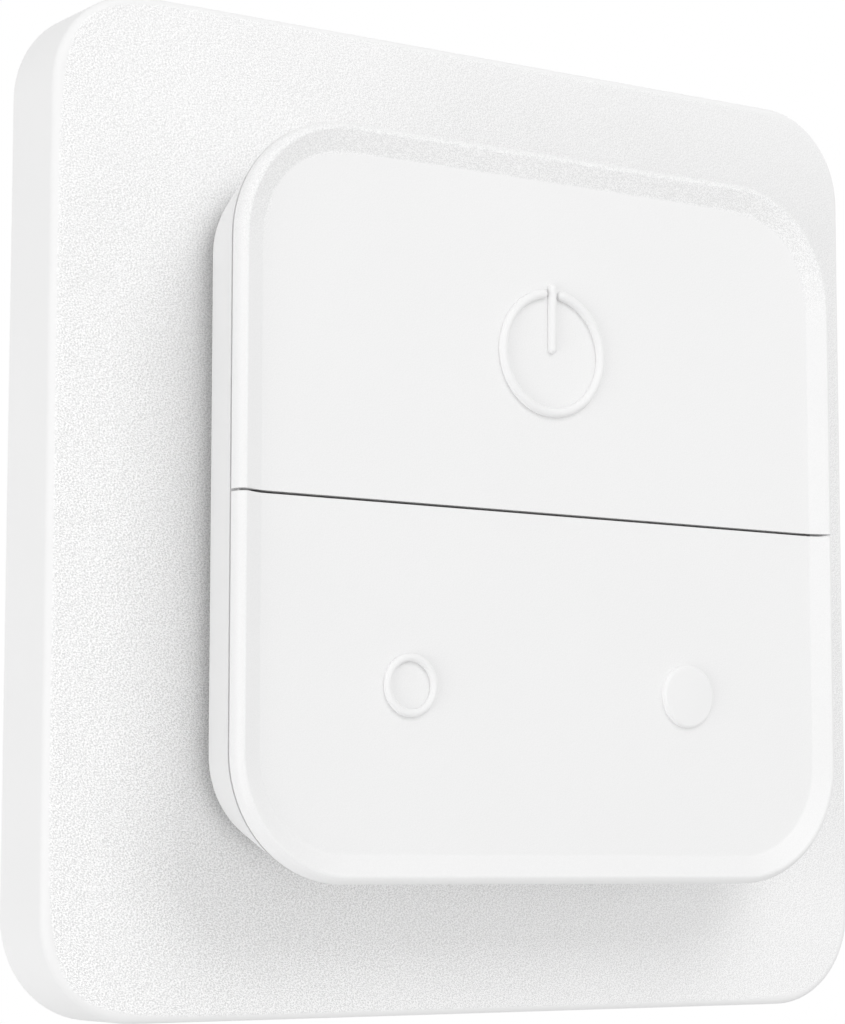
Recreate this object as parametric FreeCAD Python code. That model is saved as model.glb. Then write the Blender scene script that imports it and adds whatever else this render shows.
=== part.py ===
"""Wireless remote wall switch: a square remote with two pressing caps, held by magnets in a wall plate.

Millimetres. The origin is the middle of the plate's back, on the wall. +Z is up, +X is to the right
as seen from the room, and -Y points from the wall into the room. A "depth" is a distance from the
wall into the room, so a point at depth d has y = -d.
"""
import FreeCAD
import Part

import math
import os

from FreeCAD import Vector

# Wall plate: a square frame that the mounting base clamps to the wall by a ledge
plate_side = 80.0
plate_depth = 7.1
plate_corner = 8.0
plate_wall = 1.8
plate_edge_round = 0.7
plate_rib = 1.0
plate_rib_setback = 0.3
ribs_per_side = 3
plate_inner_wall = 4.7
clamp_ledge = 1.3
clamp_ledge_thickness = 1.0
base_fit = 0.1

# Mounting base: the remote's seat, and the steel keeper on its floor
seat_floor = 2.4
seat_wall = 1.05
seat_clearance = 0.35
seat_mouth_round = 0.4
pad_thickness = 1.1
pad_height = 14.0
pad_pocket_wall = 1.3
pad_margin = 0.4
keeper_thickness = 0.8
keeper_margin = 0.9
stake_radius = 1.0
stake_fit = 0.1
stake_offset = (8.0, 19.0)

# Slots for the two wall screws, side by side in the seat's floor
screw_pitch = 38.0
screw_slot_width = 4.2
screw_slot_length = 7.0
screw_head_width = 7.4
keeper_window_margin = 0.8

# Remote: the lower shell with its drafted side
remote_side = 58.95
remote_corner = 9.9
stand_off = 1.2
base_height = 7.9
base_draft = 19.5
base_wall = 1.6
base_floor = 1.5
base_edge_round = 1.0
ledge_width = 0.7
lip_rise = 0.25

# The shell's square foot, which drops into the seat
foot_side = 48.2
foot_corner = 5.5
foot_wall = 1.4
foot_floor = 1.5
foot_edge_round = 0.5

# Caps: a raised rim, a band that slopes inward and a flat face
cap_gap = 0.22
cap_rise = 1.6
rim_round = 0.9
dish_depth = 0.8
crease_inset = 2.27
band_run = 1.78
crease_round = 0.4
ridge_round = 0.25
cap_skin = 1.3
cap_wall = 1.2
cap_wall_drop = 1.1
cap_split = 0.22
flange_clearance = 0.2
lip_headroom = 0.25
cap_body_clearance = 0.35
cap_rib = 0.8
cap_rib_height = 0.7
power_rib_places = (0.4, 0.7)

# Pressing points under the caps
power_press_height = 4.5
dimmer_press_inset = 5.6
dimmer_press_drop = 14.3
press_boss_radius = 2.0
press_gap = 0.05

# Hinges of the caps
pin_radius = 0.6
pin_running_fit = 0.05
pin_seat_fit = 0.03
pin_sink = 0.3
knuckle_radius = 1.4
knuckle_length = 2.0
ear_width = 2.6
ear_radius = 1.2
ear_side_gap = 0.3
hinge_clearance = 0.4
power_ear_span = 24.0

# Snap hooks that stop the upper cap from lifting
hook_span = 30.0
hook_height = 3.3
hook_width = 2.4
hook_leg = 1.0
hook_barb = 0.7
hook_barb_thickness = 0.45
hook_play = 0.3

# Circuit board, its parts and the silicone mat with its domes
cell_board_room = 0.85
board_thickness = 1.0
board_margin = 0.5
board_hole_radius = 1.2
dome_radius = 3.0
dome_height = 0.25
dome_sheet = 0.1
mat_gap = 0.05
mat_thickness = 0.45
mat_bar = 6.4
mat_end_margin = 4.0
mat_leg = 3.6
mat_leg_offset = 8.2
mat_corner = 1.2
nub_radius = 2.0
nub_window_clearance = 0.8
shield_size = (10.0, 7.2, 1.5)
chip_size = (5.0, 5.0, 0.8)
crystal_size = (3.2, 2.5, 0.7)
capacitor_size = (3.5, 2.8, 1.4)
board_part_gap = 0.5

# Carrier over the board, and its screws
carrier_thickness = 1.2
carrier_gap = 0.3
carrier_spacer = 0.8
fixing_offset = 21.2
fixing_boss_radius = 2.3
fixing_radius = 1.0
fixing_head_radius = 1.85
fixing_clearance = 0.1
fixing_bite = 3.4
fixing_thread_fit = 0.03

# Coin cell, its well and its contacts
cell_radius = 10.0
cell_thickness = 3.2
cell_step_inset = 1.3
cell_step = 0.35
cell_clearance = 0.3
cell_gap = 0.4
well_wall = 1.0
well_ribs = 6
well_rib = 1.0
well_board_gap = 0.3
contact_sheet = 0.3
contact_width = 5.0
contact_pad = 2.6
contact_touch_gap = 0.05
contact_drop = 2.6
finger_run = 6.0

# Bayonet door over the cell
door_land = 1.2
door_clearance = 0.2
door_recess = 0.3
lug_count = 3
lug_reach = 1.4
lug_thickness = 0.8
lug_lift = 0.15
lug_sweep = 24.0
lug_notch_turn = 40.0
lug_notch_clearance = 0.2
coin_slot = (14.0, 2.0, 0.7)

# Magnets in the foot
magnet_radius = 3.0
magnet_thickness = 2.0
magnet_offset = 15.8
magnet_skin = 0.8
magnet_fit = 0.05
magnet_wall = 0.85

# Places worked out from the sizes, as depths from the wall
seat_floor_front = pad_thickness + seat_floor
foot_back = seat_floor_front + keeper_thickness
foot_floor_front = foot_back + foot_floor
foot_root = foot_floor_front - foot_floor / 2
base_back = plate_depth + stand_off
seam = base_back + base_height
skirt_edge = seam + cap_gap
cap_front = seam + cap_rise
cap_face = cap_front - dish_depth
cap_inside = cap_face - cap_skin
cap_wall_end = cap_inside - cap_wall_drop
cap_root = cap_inside + cap_skin / 4
door_front = foot_floor_front + lug_lift
cell_back = door_front + lug_thickness + cell_gap
cell_front = cell_back + cell_thickness
board_back = cell_front + cell_board_room
board_front = board_back + board_thickness
carrier_back = board_front + carrier_spacer
carrier_front = carrier_back + carrier_thickness
mat_back = board_front + dome_height + mat_gap
mat_front = mat_back + mat_thickness
pin_depth = carrier_front - pin_sink
press_depth = carrier_front + press_gap

# Half sizes worked out from the sizes
remote_half = remote_side / 2
foot_half = foot_side / 2
seat_half = foot_half + seat_clearance
seat_corner = foot_corner + seat_clearance
mount_half = seat_half + seat_wall
mount_corner = seat_corner + seat_wall
opening_half = mount_half + base_fit
opening_corner = mount_corner + base_fit
crease_half = remote_half - crease_inset
well_inner = cell_radius + cell_clearance + door_land + lug_reach + lug_notch_clearance
door_opening = cell_radius + cell_clearance + door_land
door_radius = door_opening - door_clearance
corner_signs = ((1, 1), (-1, 1), (-1, -1), (1, -1))
fixing_points = [(sx * fixing_offset, sz * fixing_offset) for sx, sz in corner_signs]


def base_half(depth):
    """Half width of the drafted shell, outside, at a depth."""
    return remote_half - (seam - depth) * math.tan(math.radians(base_draft))


def base_inner_half(depth):
    """Half width inside the drafted shell, at a depth."""
    return base_half(depth) - base_wall / math.cos(math.radians(base_draft))


def base_corner(half):
    """Corner radius of an outline with this half width, parallel to the remote's outline."""
    return remote_corner - (remote_half - half)


cap_body_half = base_inner_half(cap_wall_end) - cap_body_clearance
hinge_height = cap_body_half - cap_wall - hinge_clearance - knuckle_radius
knuckle_span = ear_width + 2 * ear_side_gap + 2 * knuckle_length
dimmer_ear_inset = cap_wall + hinge_clearance + knuckle_span / 2
dimmer_ear_heights = (-cap_split / 2 - dimmer_ear_inset, dimmer_ear_inset - cap_body_half)
carrier_half = base_inner_half(carrier_back) - carrier_gap
board_half = base_inner_half(board_back) - board_margin

dimmer_press_offset = cap_body_half - cap_wall - dimmer_press_inset
power_press = (0.0, power_press_height)
dim_press = (-dimmer_press_offset, -dimmer_press_drop)
bright_press = (dimmer_press_offset, -dimmer_press_drop)
press_points = (power_press, dim_press, bright_press)


# Building blocks

same_place = 1e-4


def outline(width, height, radius, depth, centre=(0.0, 0.0)):
    """Closed wire of a rectangle with round corners, parallel to the wall."""
    corners = []
    for quarter, (sign_x, sign_z) in enumerate(corner_signs):
        middle_x = centre[0] + sign_x * (width / 2 - radius)
        middle_z = centre[1] + sign_z * (height / 2 - radius)
        points = []
        for angle in (90 * quarter, 90 * quarter + 45, 90 * quarter + 90):
            x = middle_x + radius * math.cos(math.radians(angle))
            z = middle_z + radius * math.sin(math.radians(angle))
            points.append(Vector(x, -depth, z))
        corners.append(points)
    edges = []
    for points, following in zip(corners, corners[1:] + corners[:1]):
        edges.append(Part.Arc(*points).toShape())
        if points[-1].distanceToPoint(following[0]) > same_place:
            edges.append(Part.LineSegment(points[-1], following[0]).toShape())
    return Part.Wire(edges)


def prism(width, height, radius, back, front, centre=(0.0, 0.0)):
    """Rounded rectangle extruded from one depth to another."""
    face = Part.Face(outline(width, height, radius, back, centre))
    return face.extrude(Vector(0, back - front, 0))


def square_prism(half, radius, back, front):
    """Rounded square about the middle, extruded from one depth to another."""
    return prism(2 * half, 2 * half, radius, back, front)


def frustum(back_half, back_radius, back, front_half, front_radius, front):
    """Rounded square that grows or shrinks evenly from one depth to another."""
    back_wire = outline(2 * back_half, 2 * back_half, back_radius, back)
    front_wire = outline(2 * front_half, 2 * front_half, front_radius, front)
    return Part.makeLoft([back_wire, front_wire], True, True)


def block(width, height, back, front, centre=(0.0, 0.0)):
    """Plain box between two depths."""
    corner = Vector(centre[0] - width / 2, -front, centre[1] - height / 2)
    return Part.makeBox(width, front - back, height, corner)


def disc(radius, back, front, centre=(0.0, 0.0)):
    """Cylinder that points into the room, between two depths."""
    start = Vector(centre[0], -back, centre[1])
    return Part.makeCylinder(radius, front - back, start, Vector(0, -1, 0))


def cone(back_radius, front_radius, back, front, centre=(0.0, 0.0)):
    """Cone that points into the room, between two depths."""
    start = Vector(centre[0], -back, centre[1])
    return Part.makeCone(back_radius, front_radius, front - back, start, Vector(0, -1, 0))


def rod(radius, length, middle, axis):
    """Cylinder along X or Z with its middle at a point."""
    start = middle - axis * (length / 2)
    return Part.makeCylinder(radius, length, start, axis)


def revolved(points):
    """Solid turned about the Y axis from (radius, depth) points."""
    corners = [Vector(radius, -depth, 0) for radius, depth in points]
    face = Part.Face(Part.makePolygon(corners + corners[:1]))
    return face.revolve(Vector(0, 0, 0), Vector(0, 1, 0), 360)


def turned(shape, angle):
    """Copy of a shape turned about the Y axis."""
    copy = shape.copy()
    copy.rotate(Vector(0, 0, 0), Vector(0, 1, 0), angle)
    return copy


def edges_in_plane(shape, depth):
    """Edges that lie at one depth."""
    found = []
    for edge in shape.Edges:
        box = edge.BoundBox
        if max(abs(box.YMin + depth), abs(box.YMax + depth)) < same_place:
            found.append(edge)
    return found


def cleaned(shape):
    """Single solid with its split faces joined."""
    return shape.removeSplitter().Solids[0]


# Wall side

def make_wall_plate():
    """Frame with a rounded front edge, a ledge inside its back, and a ribbed hollow behind its face."""
    body = square_prism(plate_side / 2, plate_corner, 0, plate_depth)
    body = body.makeFillet(plate_edge_round, edges_in_plane(body, plate_depth))

    outer_half = plate_side / 2 - plate_wall
    inner_half = opening_half + plate_inner_wall
    hollow_front = plate_depth - plate_wall
    hollow = square_prism(outer_half, plate_corner - plate_wall, 0, hollow_front)
    hollow = hollow.cut(square_prism(inner_half, opening_corner + plate_inner_wall, 0, hollow_front))
    body = body.cut(hollow)
    body = body.fuse(plate_ribs(inner_half, outer_half, hollow_front))

    opening = square_prism(opening_half, opening_corner, clamp_ledge_thickness, plate_depth)
    ledge_half = opening_half - clamp_ledge
    ledge_hole = square_prism(ledge_half, opening_corner - clamp_ledge, 0, clamp_ledge_thickness)
    return cleaned(body.cut([opening, ledge_hole]))


def plate_ribs(inner_half, outer_half, front):
    """Ribs across the hollow, evenly along each side of the opening."""
    length = outer_half - inner_half + plate_wall
    pitch = 2 * inner_half / (ribs_per_side + 1)
    ribs = []
    for number in range(ribs_per_side):
        place = ((number + 1) * pitch - inner_half, (inner_half + outer_half) / 2)
        rib = block(plate_rib, length, plate_rib_setback, front, place)
        ribs += [turned(rib, 90 * quarter) for quarter in range(4)]
    return ribs


def make_mounting_base():
    """Square dish that the remote's foot drops into, stepped at its back over the frame's ledge."""
    body = square_prism(mount_half, mount_corner, clamp_ledge_thickness, plate_depth)
    back_half = opening_half - clamp_ledge - base_fit
    back_corner = opening_corner - clamp_ledge - base_fit
    body = body.fuse(square_prism(back_half, back_corner, 0, clamp_ledge_thickness))
    body = body.cut(square_prism(seat_half, seat_corner, seat_floor_front, plate_depth))
    body = body.makeFillet(seat_mouth_round, seat_mouth_edges(body))
    pocket_half = back_half - pad_pocket_wall
    body = body.cut(square_prism(pocket_half, back_corner - pad_pocket_wall, 0, pad_thickness))
    body = body.fuse([disc(stake_radius, seat_floor_front, foot_back, point) for point in stake_points()])
    body = body.cut([screw_slot(sign) for sign in (-1, 1)])
    return cleaned(body)


def seat_mouth_edges(body):
    """Edges of the seat's opening in the base's front."""
    found = []
    for edge in edges_in_plane(body, plate_depth):
        middle = edge.CenterOfMass
        if max(abs(middle.x), abs(middle.z)) < seat_half + seat_mouth_round:
            found.append(edge)
    return found


def stake_points():
    """Places of the four stakes that hold the keeper."""
    return [(sx * stake_offset[0], sz * stake_offset[1]) for sx, sz in corner_signs]


def screw_slot(side):
    """Countersunk slot for one wall screw."""
    middle = (side * screw_pitch / 2, 0.0)
    end_radius = screw_slot_width / 2
    slot = prism(screw_slot_length, screw_slot_width, end_radius, 0, foot_back, middle)
    sink = (screw_head_width - screw_slot_width) / 2
    back = outline(screw_slot_length, screw_slot_width, end_radius, seat_floor_front - sink, middle)
    front_length = screw_slot_length + 2 * sink
    front = outline(front_length, screw_head_width, screw_head_width / 2, seat_floor_front, middle)
    return slot.fuse(Part.makeLoft([back, front], True, True))


def make_keeper_plate():
    """Steel sheet on the seat's floor, with windows for the screw heads and holes for the stakes."""
    half = seat_half - keeper_margin
    sheet = square_prism(half, seat_corner - keeper_margin, seat_floor_front, foot_back)
    for side in (-1, 1):
        length = screw_slot_length + screw_head_width - screw_slot_width + 2 * keeper_window_margin
        width = screw_head_width + 2 * keeper_window_margin
        middle = (side * screw_pitch / 2, 0.0)
        sheet = sheet.cut(prism(length, width, width / 2, seat_floor_front, foot_back, middle))
    holes = [disc(stake_radius + stake_fit, seat_floor_front, foot_back, point) for point in stake_points()]
    return cleaned(sheet.cut(holes))


def make_adhesive_pad(side):
    """Foam pad behind the seat's floor, above or below the screw slots."""
    inset = clamp_ledge + base_fit + pad_pocket_wall + pad_margin
    half = opening_half - inset
    height = side * (half - pad_height / 2)
    return prism(2 * half, pad_height, opening_corner - inset, 0, pad_thickness, (0.0, height))


# Remote's shell and door

def make_rear_housing():
    """Drafted shell with a square foot, a cell well, magnet pockets and four screw bosses."""
    back_half = base_half(base_back)
    outside = frustum(back_half, base_corner(back_half), base_back, remote_half, remote_corner, seam)
    outside = outside.makeFillet(base_edge_round, edges_in_plane(outside, base_back))
    foot = square_prism(foot_half, foot_corner, foot_back, base_back + base_floor)
    foot = foot.makeFillet(foot_edge_round, edges_in_plane(foot, foot_back))
    lip_half = remote_half - ledge_width
    lip = square_prism(lip_half, base_corner(lip_half), seam - base_floor, seam + lip_rise)
    outside = outside.fuse([foot, lip])

    floor = base_back + base_floor
    cavity = frustum(
        base_inner_half(floor), base_corner(base_inner_half(floor)), floor,
        base_inner_half(seam), base_corner(base_inner_half(seam)), seam,
    )
    mouth = square_prism(base_inner_half(seam), base_corner(base_inner_half(seam)), seam, seam + lip_rise)
    foot_cavity = square_prism(foot_half - foot_wall, foot_corner - foot_wall, foot_floor_front, floor)
    shell = outside.cut([cavity, mouth, foot_cavity])

    shell = shell.fuse(inner_bosses().common(outside))
    pockets = [disc(magnet_radius + magnet_fit, foot_back + magnet_skin, floor, p) for p in magnet_points()]
    bite_start = board_back - fixing_bite
    holes = [disc(fixing_radius + fixing_thread_fit, bite_start, board_back, p) for p in fixing_points]
    return cleaned(shell.cut(pockets + holes + [door_hole()]))


def inner_bosses():
    """Screw bosses, magnet collars, and the cell's well with its locating ribs."""
    pieces = [disc(fixing_boss_radius, foot_floor_front, board_back, point) for point in fixing_points]
    collar_front = foot_back + magnet_skin + magnet_thickness + magnet_fit
    for point in magnet_points():
        pieces.append(disc(magnet_radius + magnet_wall, foot_root, collar_front, point))
    well_front = board_back - well_board_gap
    well = disc(well_inner + well_wall, foot_root, well_front).cut(disc(well_inner, foot_root, well_front))
    rib_length = well_inner - cell_radius - cell_clearance + well_wall / 2
    rib_middle = cell_radius + cell_clearance + rib_length / 2
    rib_back = door_front + lug_thickness + lug_lift
    rib = block(rib_length, well_rib, rib_back, well_front, (rib_middle, 0.0))
    ribs = [turned(rib, 360 / well_ribs * number) for number in range(well_ribs)]
    return pieces[0].fuse(pieces[1:] + [well] + ribs)


def magnet_points():
    """Places of the four magnets."""
    return [(sx * magnet_offset, sz * magnet_offset) for sx, sz in corner_signs]


def sector(radius, sweep, back, front, middle_angle):
    """Wedge of a disc, centred on an angle about the Y axis."""
    wedge = Part.makeCylinder(radius, front - back, Vector(0, -back, 0), Vector(0, -1, 0), sweep)
    centre = wedge.CenterOfMass
    present = math.degrees(math.atan2(-centre.z, centre.x))
    return turned(wedge, middle_angle - present)


def door_hole():
    """Opening in the foot for the door, with a notch for each lug."""
    hole = disc(door_opening, foot_back, foot_floor_front)
    notch_sweep = lug_sweep + math.degrees(2 * lug_notch_clearance / door_opening)
    notch_radius = door_opening + lug_reach + lug_notch_clearance / 2
    for number in range(lug_count):
        angle = 360 / lug_count * number + lug_notch_turn
        hole = hole.fuse(sector(notch_radius, notch_sweep, foot_back, foot_floor_front, angle))
    return hole


def make_battery_door():
    """Round door with a coin slot and bayonet lugs that turn behind the foot's floor."""
    lug_front = door_front + lug_thickness
    door = disc(door_radius, foot_back + door_recess, lug_front)
    lug_radius = door_opening + lug_reach - lug_notch_clearance / 2
    for number in range(lug_count):
        door = door.fuse(sector(lug_radius, lug_sweep, door_front, lug_front, 360 / lug_count * number))
    slot_back = foot_back + door_recess
    slot = prism(coin_slot[0], coin_slot[1], coin_slot[1] / 2, slot_back, slot_back + coin_slot[2])
    return cleaned(door.cut(slot))


def make_dock_magnets():
    """Four disc magnets behind the foot's thin skin."""
    back = foot_back + magnet_skin
    magnets = [disc(magnet_radius, back, back + magnet_thickness, point) for point in magnet_points()]
    return Part.makeCompound(magnets)


# Cell and contacts

def make_coin_cell():
    """Coin cell: the can, and the smaller cap that faces the board."""
    shoulder = cell_front - cell_step
    corner = cell_step / 2
    cap_radius = cell_radius - cell_step_inset
    return revolved((
        (0, cell_back), (cell_radius - corner, cell_back), (cell_radius, cell_back + corner),
        (cell_radius, shoulder), (cap_radius, shoulder), (cap_radius, cell_front), (0, cell_front),
    ))


def make_battery_contact_plus():
    """Bent strip from the board to the side of the cell."""
    near = cell_radius + contact_touch_gap
    pad_middle = (0.0, near + contact_pad / 2)
    pad = block(contact_width, contact_pad, board_back - contact_sheet, board_back, pad_middle)
    leg_middle = (0.0, near + contact_sheet / 2)
    leg = block(contact_width, contact_sheet, board_back - contact_drop, board_back, leg_middle)
    return cleaned(pad.fuse(leg))


def make_battery_contact_minus():
    """Spring finger from the board to the middle of the cell."""
    pad_back = board_back - contact_sheet
    tip = cell_front + contact_touch_gap
    profile = (
        (-finger_run / 2 - contact_pad, board_back), (-finger_run / 2 - contact_pad, pad_back),
        (-finger_run / 2, pad_back), (finger_run / 2, tip), (finger_run / 2 + contact_sheet, tip),
        (finger_run / 2 + contact_sheet, tip + contact_sheet), (finger_run / 2, tip + contact_sheet),
        (-finger_run / 2, board_back),
    )
    corners = [Vector(x, -depth, -contact_width / 2) for x, depth in profile]
    face = Part.Face(Part.makePolygon(corners + corners[:1]))
    return face.extrude(Vector(0, 0, contact_width))


# Board, domes and mat

def make_circuit_board():
    """Board clamped between the screw bosses and the carrier."""
    board = square_prism(board_half, base_corner(board_half), board_back, board_front)
    return board.cut([disc(board_hole_radius, board_back, board_front, point) for point in fixing_points])


def board_part(size, centre):
    """Component on the back of the board."""
    width, height, thickness = size
    return block(width, height, board_back - thickness, board_back, centre)


def make_dome(point):
    """Thin snap dome on the front of the board."""
    outer_radius = (dome_radius ** 2 + dome_height ** 2) / (2 * dome_height)
    middle = Vector(point[0], -(board_front + dome_height - outer_radius), point[1])
    outer = Part.makeSphere(outer_radius, middle)
    inner = Part.makeSphere(outer_radius - dome_sheet, middle)
    slab = disc(2 * dome_radius, board_front, board_front + 2 * dome_height, point)
    return outer.cut(inner).common(slab).Solids[0]


def make_key_mat():
    """Silicone mat with a nub over each dome, cut away round the hinges and hooks."""
    bar_width = 2 * (dimmer_press_offset + mat_end_margin)
    bar = prism(bar_width, mat_bar, mat_corner, mat_back, mat_front, (0.0, -dimmer_press_drop))
    leg_top = power_press_height
    leg_bottom = -dimmer_press_drop
    leg_middle = (leg_top + leg_bottom) / 2
    pieces = []
    for side in (-1, 1):
        place = (side * mat_leg_offset, leg_middle)
        pieces.append(prism(mat_leg, leg_top - leg_bottom, mat_corner, mat_back, mat_front, place))
    top_width = 2 * mat_leg_offset + mat_leg
    pieces.append(prism(top_width, mat_bar, mat_corner, mat_back, mat_front, power_press))
    pieces += [disc(nub_radius, mat_back, carrier_front, point) for point in press_points]
    return cleaned(bar.fuse(pieces))


# Carrier, screws and pins

def make_front_carrier():
    """Plate over the board with hinge knuckles, windows and countersunk screw holes."""
    plate = square_prism(carrier_half, base_corner(carrier_half), carrier_back, carrier_front)
    spacers = [disc(fixing_boss_radius, board_front, carrier_back, point) for point in fixing_points]
    knuckles = [rod(knuckle_radius, knuckle_span, middle, axis) for middle, axis in hinge_seats()]
    plate = plate.fuse(spacers + knuckles)
    window = ear_width + 2 * ear_side_gap
    window_across = 2 * (ear_radius + hinge_clearance)
    cuts = []
    for middle, axis in hinge_seats():
        width = window if axis.x else window_across
        height = window_across if axis.x else window
        cuts.append(block(width, height, board_front, cap_inside, (middle.x, middle.z)))
        cuts.append(rod(pin_radius + pin_seat_fit, knuckle_span, middle, axis))
    for point in press_points:
        cuts.append(disc(nub_radius + nub_window_clearance, carrier_back, carrier_front, point))
    for side in (-1, 1):
        top = hook_height + hook_leg + hook_play
        bottom = hook_height - hook_play
        place = (side * hook_span / 2, (top + bottom) / 2)
        cuts.append(block(hook_width + 2 * hook_play, top - bottom, carrier_back, carrier_front, place))
    for point in fixing_points:
        cuts.append(disc(fixing_radius + fixing_clearance, board_front, carrier_front, point))
        cuts.append(screw_head(fixing_clearance, point))
    return cleaned(plate.cut(cuts))


def hinge_seats():
    """Middle and axis of each ear's pin: two along X for the upper cap, two along Z for the lower."""
    seats = []
    for side in (-1, 1):
        seats.append((Vector(side * power_ear_span / 2, -pin_depth, hinge_height), Vector(1, 0, 0)))
    for height in dimmer_ear_heights:
        seats.append((Vector(0, -pin_depth, height), Vector(0, 0, 1)))
    return seats


def screw_head(clearance, point):
    """Cone of a countersunk head that ends flush with the carrier's front."""
    back = carrier_front - (fixing_head_radius - fixing_radius)
    return cone(fixing_radius + clearance, fixing_head_radius + clearance, back, carrier_front, point)


def make_carrier_screws():
    """Four countersunk screws through carrier and board into the shell's bosses."""
    tip = board_back - fixing_bite + fixing_clearance
    screws = []
    for point in fixing_points:
        shank = disc(fixing_radius, tip, carrier_front, point)
        screws.append(cleaned(shank.fuse(screw_head(0.0, point))))
    return Part.makeCompound(screws)


def make_hinge_pins(along):
    """The two pins of one cap's hinge."""
    seats = [seat for seat in hinge_seats() if seat[1] == along]
    return Part.makeCompound([rod(pin_radius, knuckle_span, middle, axis) for middle, axis in seats])


# Caps

def cap_blank():
    """Both caps in one piece: rounded rim, sloping band and flat face, stepped over the shell's lip."""
    rim = square_prism(remote_half, remote_corner, skirt_edge, cap_front)
    rim = rim.makeFillet(rim_round, edges_in_plane(rim, cap_front))
    groove_half = remote_half - ledge_width + flange_clearance
    groove_front = seam + lip_rise + lip_headroom
    rim = rim.cut(square_prism(groove_half, base_corner(groove_half), skirt_edge, groove_front))
    core = square_prism(cap_body_half, base_corner(cap_body_half), cap_inside, groove_front)
    wall = square_prism(cap_body_half, base_corner(cap_body_half), cap_wall_end, cap_inside)
    rim = rim.fuse([core, wall])
    top_half = crease_half + band_run
    crease_corner = base_corner(crease_half)
    dish = frustum(crease_half, crease_corner, cap_face, top_half, base_corner(top_half), cap_front)
    dish = dish.makeFillet(crease_round, edges_in_plane(dish, cap_face))
    blank = rim.cut(dish)
    ridge_depth = max(-edge.BoundBox.YMin for edge in blank.Edges)
    return blank.makeFillet(ridge_round, edges_in_plane(blank, ridge_depth))


def half_cap(side):
    """Upper or lower cap, hollow behind its skin inside a stiffening wall."""
    reach = remote_side
    keep = block(reach, reach, 0, cap_front, (0.0, side * (reach + cap_split) / 2))
    cap = cap_blank().common(keep)
    hollow_half = cap_body_half - cap_wall
    hollow = square_prism(hollow_half, base_corner(hollow_half), cap_wall_end, cap_inside)
    inner_keep = block(reach, reach, 0, cap_front, (0.0, side * (reach / 2 + cap_split / 2 + cap_wall)))
    return cap.cut(hollow.common(inner_keep))


def ear(middle, axis):
    """Lug under a cap with a running bore for its hinge pin."""
    lug = rod(ear_radius, ear_width, middle, axis)
    width = ear_width if axis.x else 2 * ear_radius
    height = 2 * ear_radius if axis.x else ear_width
    lug = lug.fuse(block(width, height, pin_depth, cap_root, (middle.x, middle.z)))
    return lug.cut(rod(pin_radius + pin_running_fit, ear_width, middle, axis))


def press_boss(point):
    """Boss under a cap that presses a nub of the mat."""
    return disc(press_boss_radius, press_depth, cap_root, point)


def stiffener(width, height, centre):
    """Low rib under a cap's skin."""
    return block(width, height, cap_inside - cap_rib_height, cap_root, centre)


def snap_hook(side):
    """Leg with a barb that catches behind the carrier."""
    barb_front = carrier_back - press_gap
    barb_back = barb_front - hook_barb_thickness
    x = side * hook_span / 2
    leg_middle = (x, hook_height + hook_leg / 2)
    leg = block(hook_width, hook_leg, barb_back, cap_root, leg_middle)
    barb_middle = (x, hook_height + (hook_leg + hook_barb) / 2)
    return leg.fuse(block(hook_width, hook_leg + hook_barb, barb_back, barb_front, barb_middle))


def make_power_button():
    """Upper cap, hinged near its top edge."""
    ears = [ear(middle, axis) for middle, axis in hinge_seats() if axis.x]
    hooks = [snap_hook(side) for side in (-1, 1)]
    rib_span = 2 * (cap_body_half - cap_wall / 2)
    ribs = [stiffener(rib_span, cap_rib, (0.0, hinge_height * share)) for share in power_rib_places]
    return cleaned(half_cap(1).fuse(ears + hooks + ribs + [press_boss(power_press)]))


def make_dimmer_button():
    """Lower cap, which rocks left and right about an upright hinge in its middle."""
    ears = [ear(middle, axis) for middle, axis in hinge_seats() if axis.z]
    rib_span = 2 * (cap_body_half - cap_wall / 2)
    long_rib = stiffener(rib_span, cap_rib, (0.0, -dimmer_press_drop))
    short_span = cap_body_half - cap_wall / 2 - cap_split
    short_ribs = []
    for side in (-1, 1):
        place = (side * dimmer_press_offset / 2, -(short_span / 2 + cap_split + cap_wall / 2))
        short_ribs.append(stiffener(cap_rib, short_span - cap_wall / 2, place))
    bosses = [press_boss(dim_press), press_boss(bright_press)]
    return cleaned(half_cap(-1).fuse(ears + [long_rib] + short_ribs + bosses))


def make_parts():
    """Every sub-part under its name."""
    beside_well = well_inner + well_wall + board_part_gap
    chip_x = -(beside_well + chip_size[0] / 2)
    shield_z = beside_well + shield_size[1] / 2
    crystal_z = chip_size[1] / 2 + board_part_gap + crystal_size[1] / 2
    capacitor_x = beside_well + capacitor_size[0] / 2
    return {
        "wall_plate": make_wall_plate(),
        "mounting_base": make_mounting_base(),
        "keeper_plate": make_keeper_plate(),
        "adhesive_pad_upper": make_adhesive_pad(1),
        "adhesive_pad_lower": make_adhesive_pad(-1),
        "rear_housing": make_rear_housing(),
        "battery_door": make_battery_door(),
        "dock_magnets": make_dock_magnets(),
        "coin_cell": make_coin_cell(),
        "battery_contact_plus": make_battery_contact_plus(),
        "battery_contact_minus": make_battery_contact_minus(),
        "circuit_board": make_circuit_board(),
        "radio_shield": board_part(shield_size, (0.0, shield_z)),
        "main_chip": board_part(chip_size, (chip_x, 0.0)),
        "crystal": board_part(crystal_size, (chip_x, crystal_z)),
        "capacitor": board_part(capacitor_size, (capacitor_x, 0.0)),
        "power_dome": make_dome(power_press),
        "dim_dome": make_dome(dim_press),
        "bright_dome": make_dome(bright_press),
        "key_mat": make_key_mat(),
        "front_carrier": make_front_carrier(),
        "carrier_screws": make_carrier_screws(),
        "power_hinge_pins": make_hinge_pins(Vector(1, 0, 0)),
        "dimmer_hinge_pins": make_hinge_pins(Vector(0, 0, 1)),
        "power_button": make_power_button(),
        "dimmer_button": make_dimmer_button(),
    }


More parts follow.
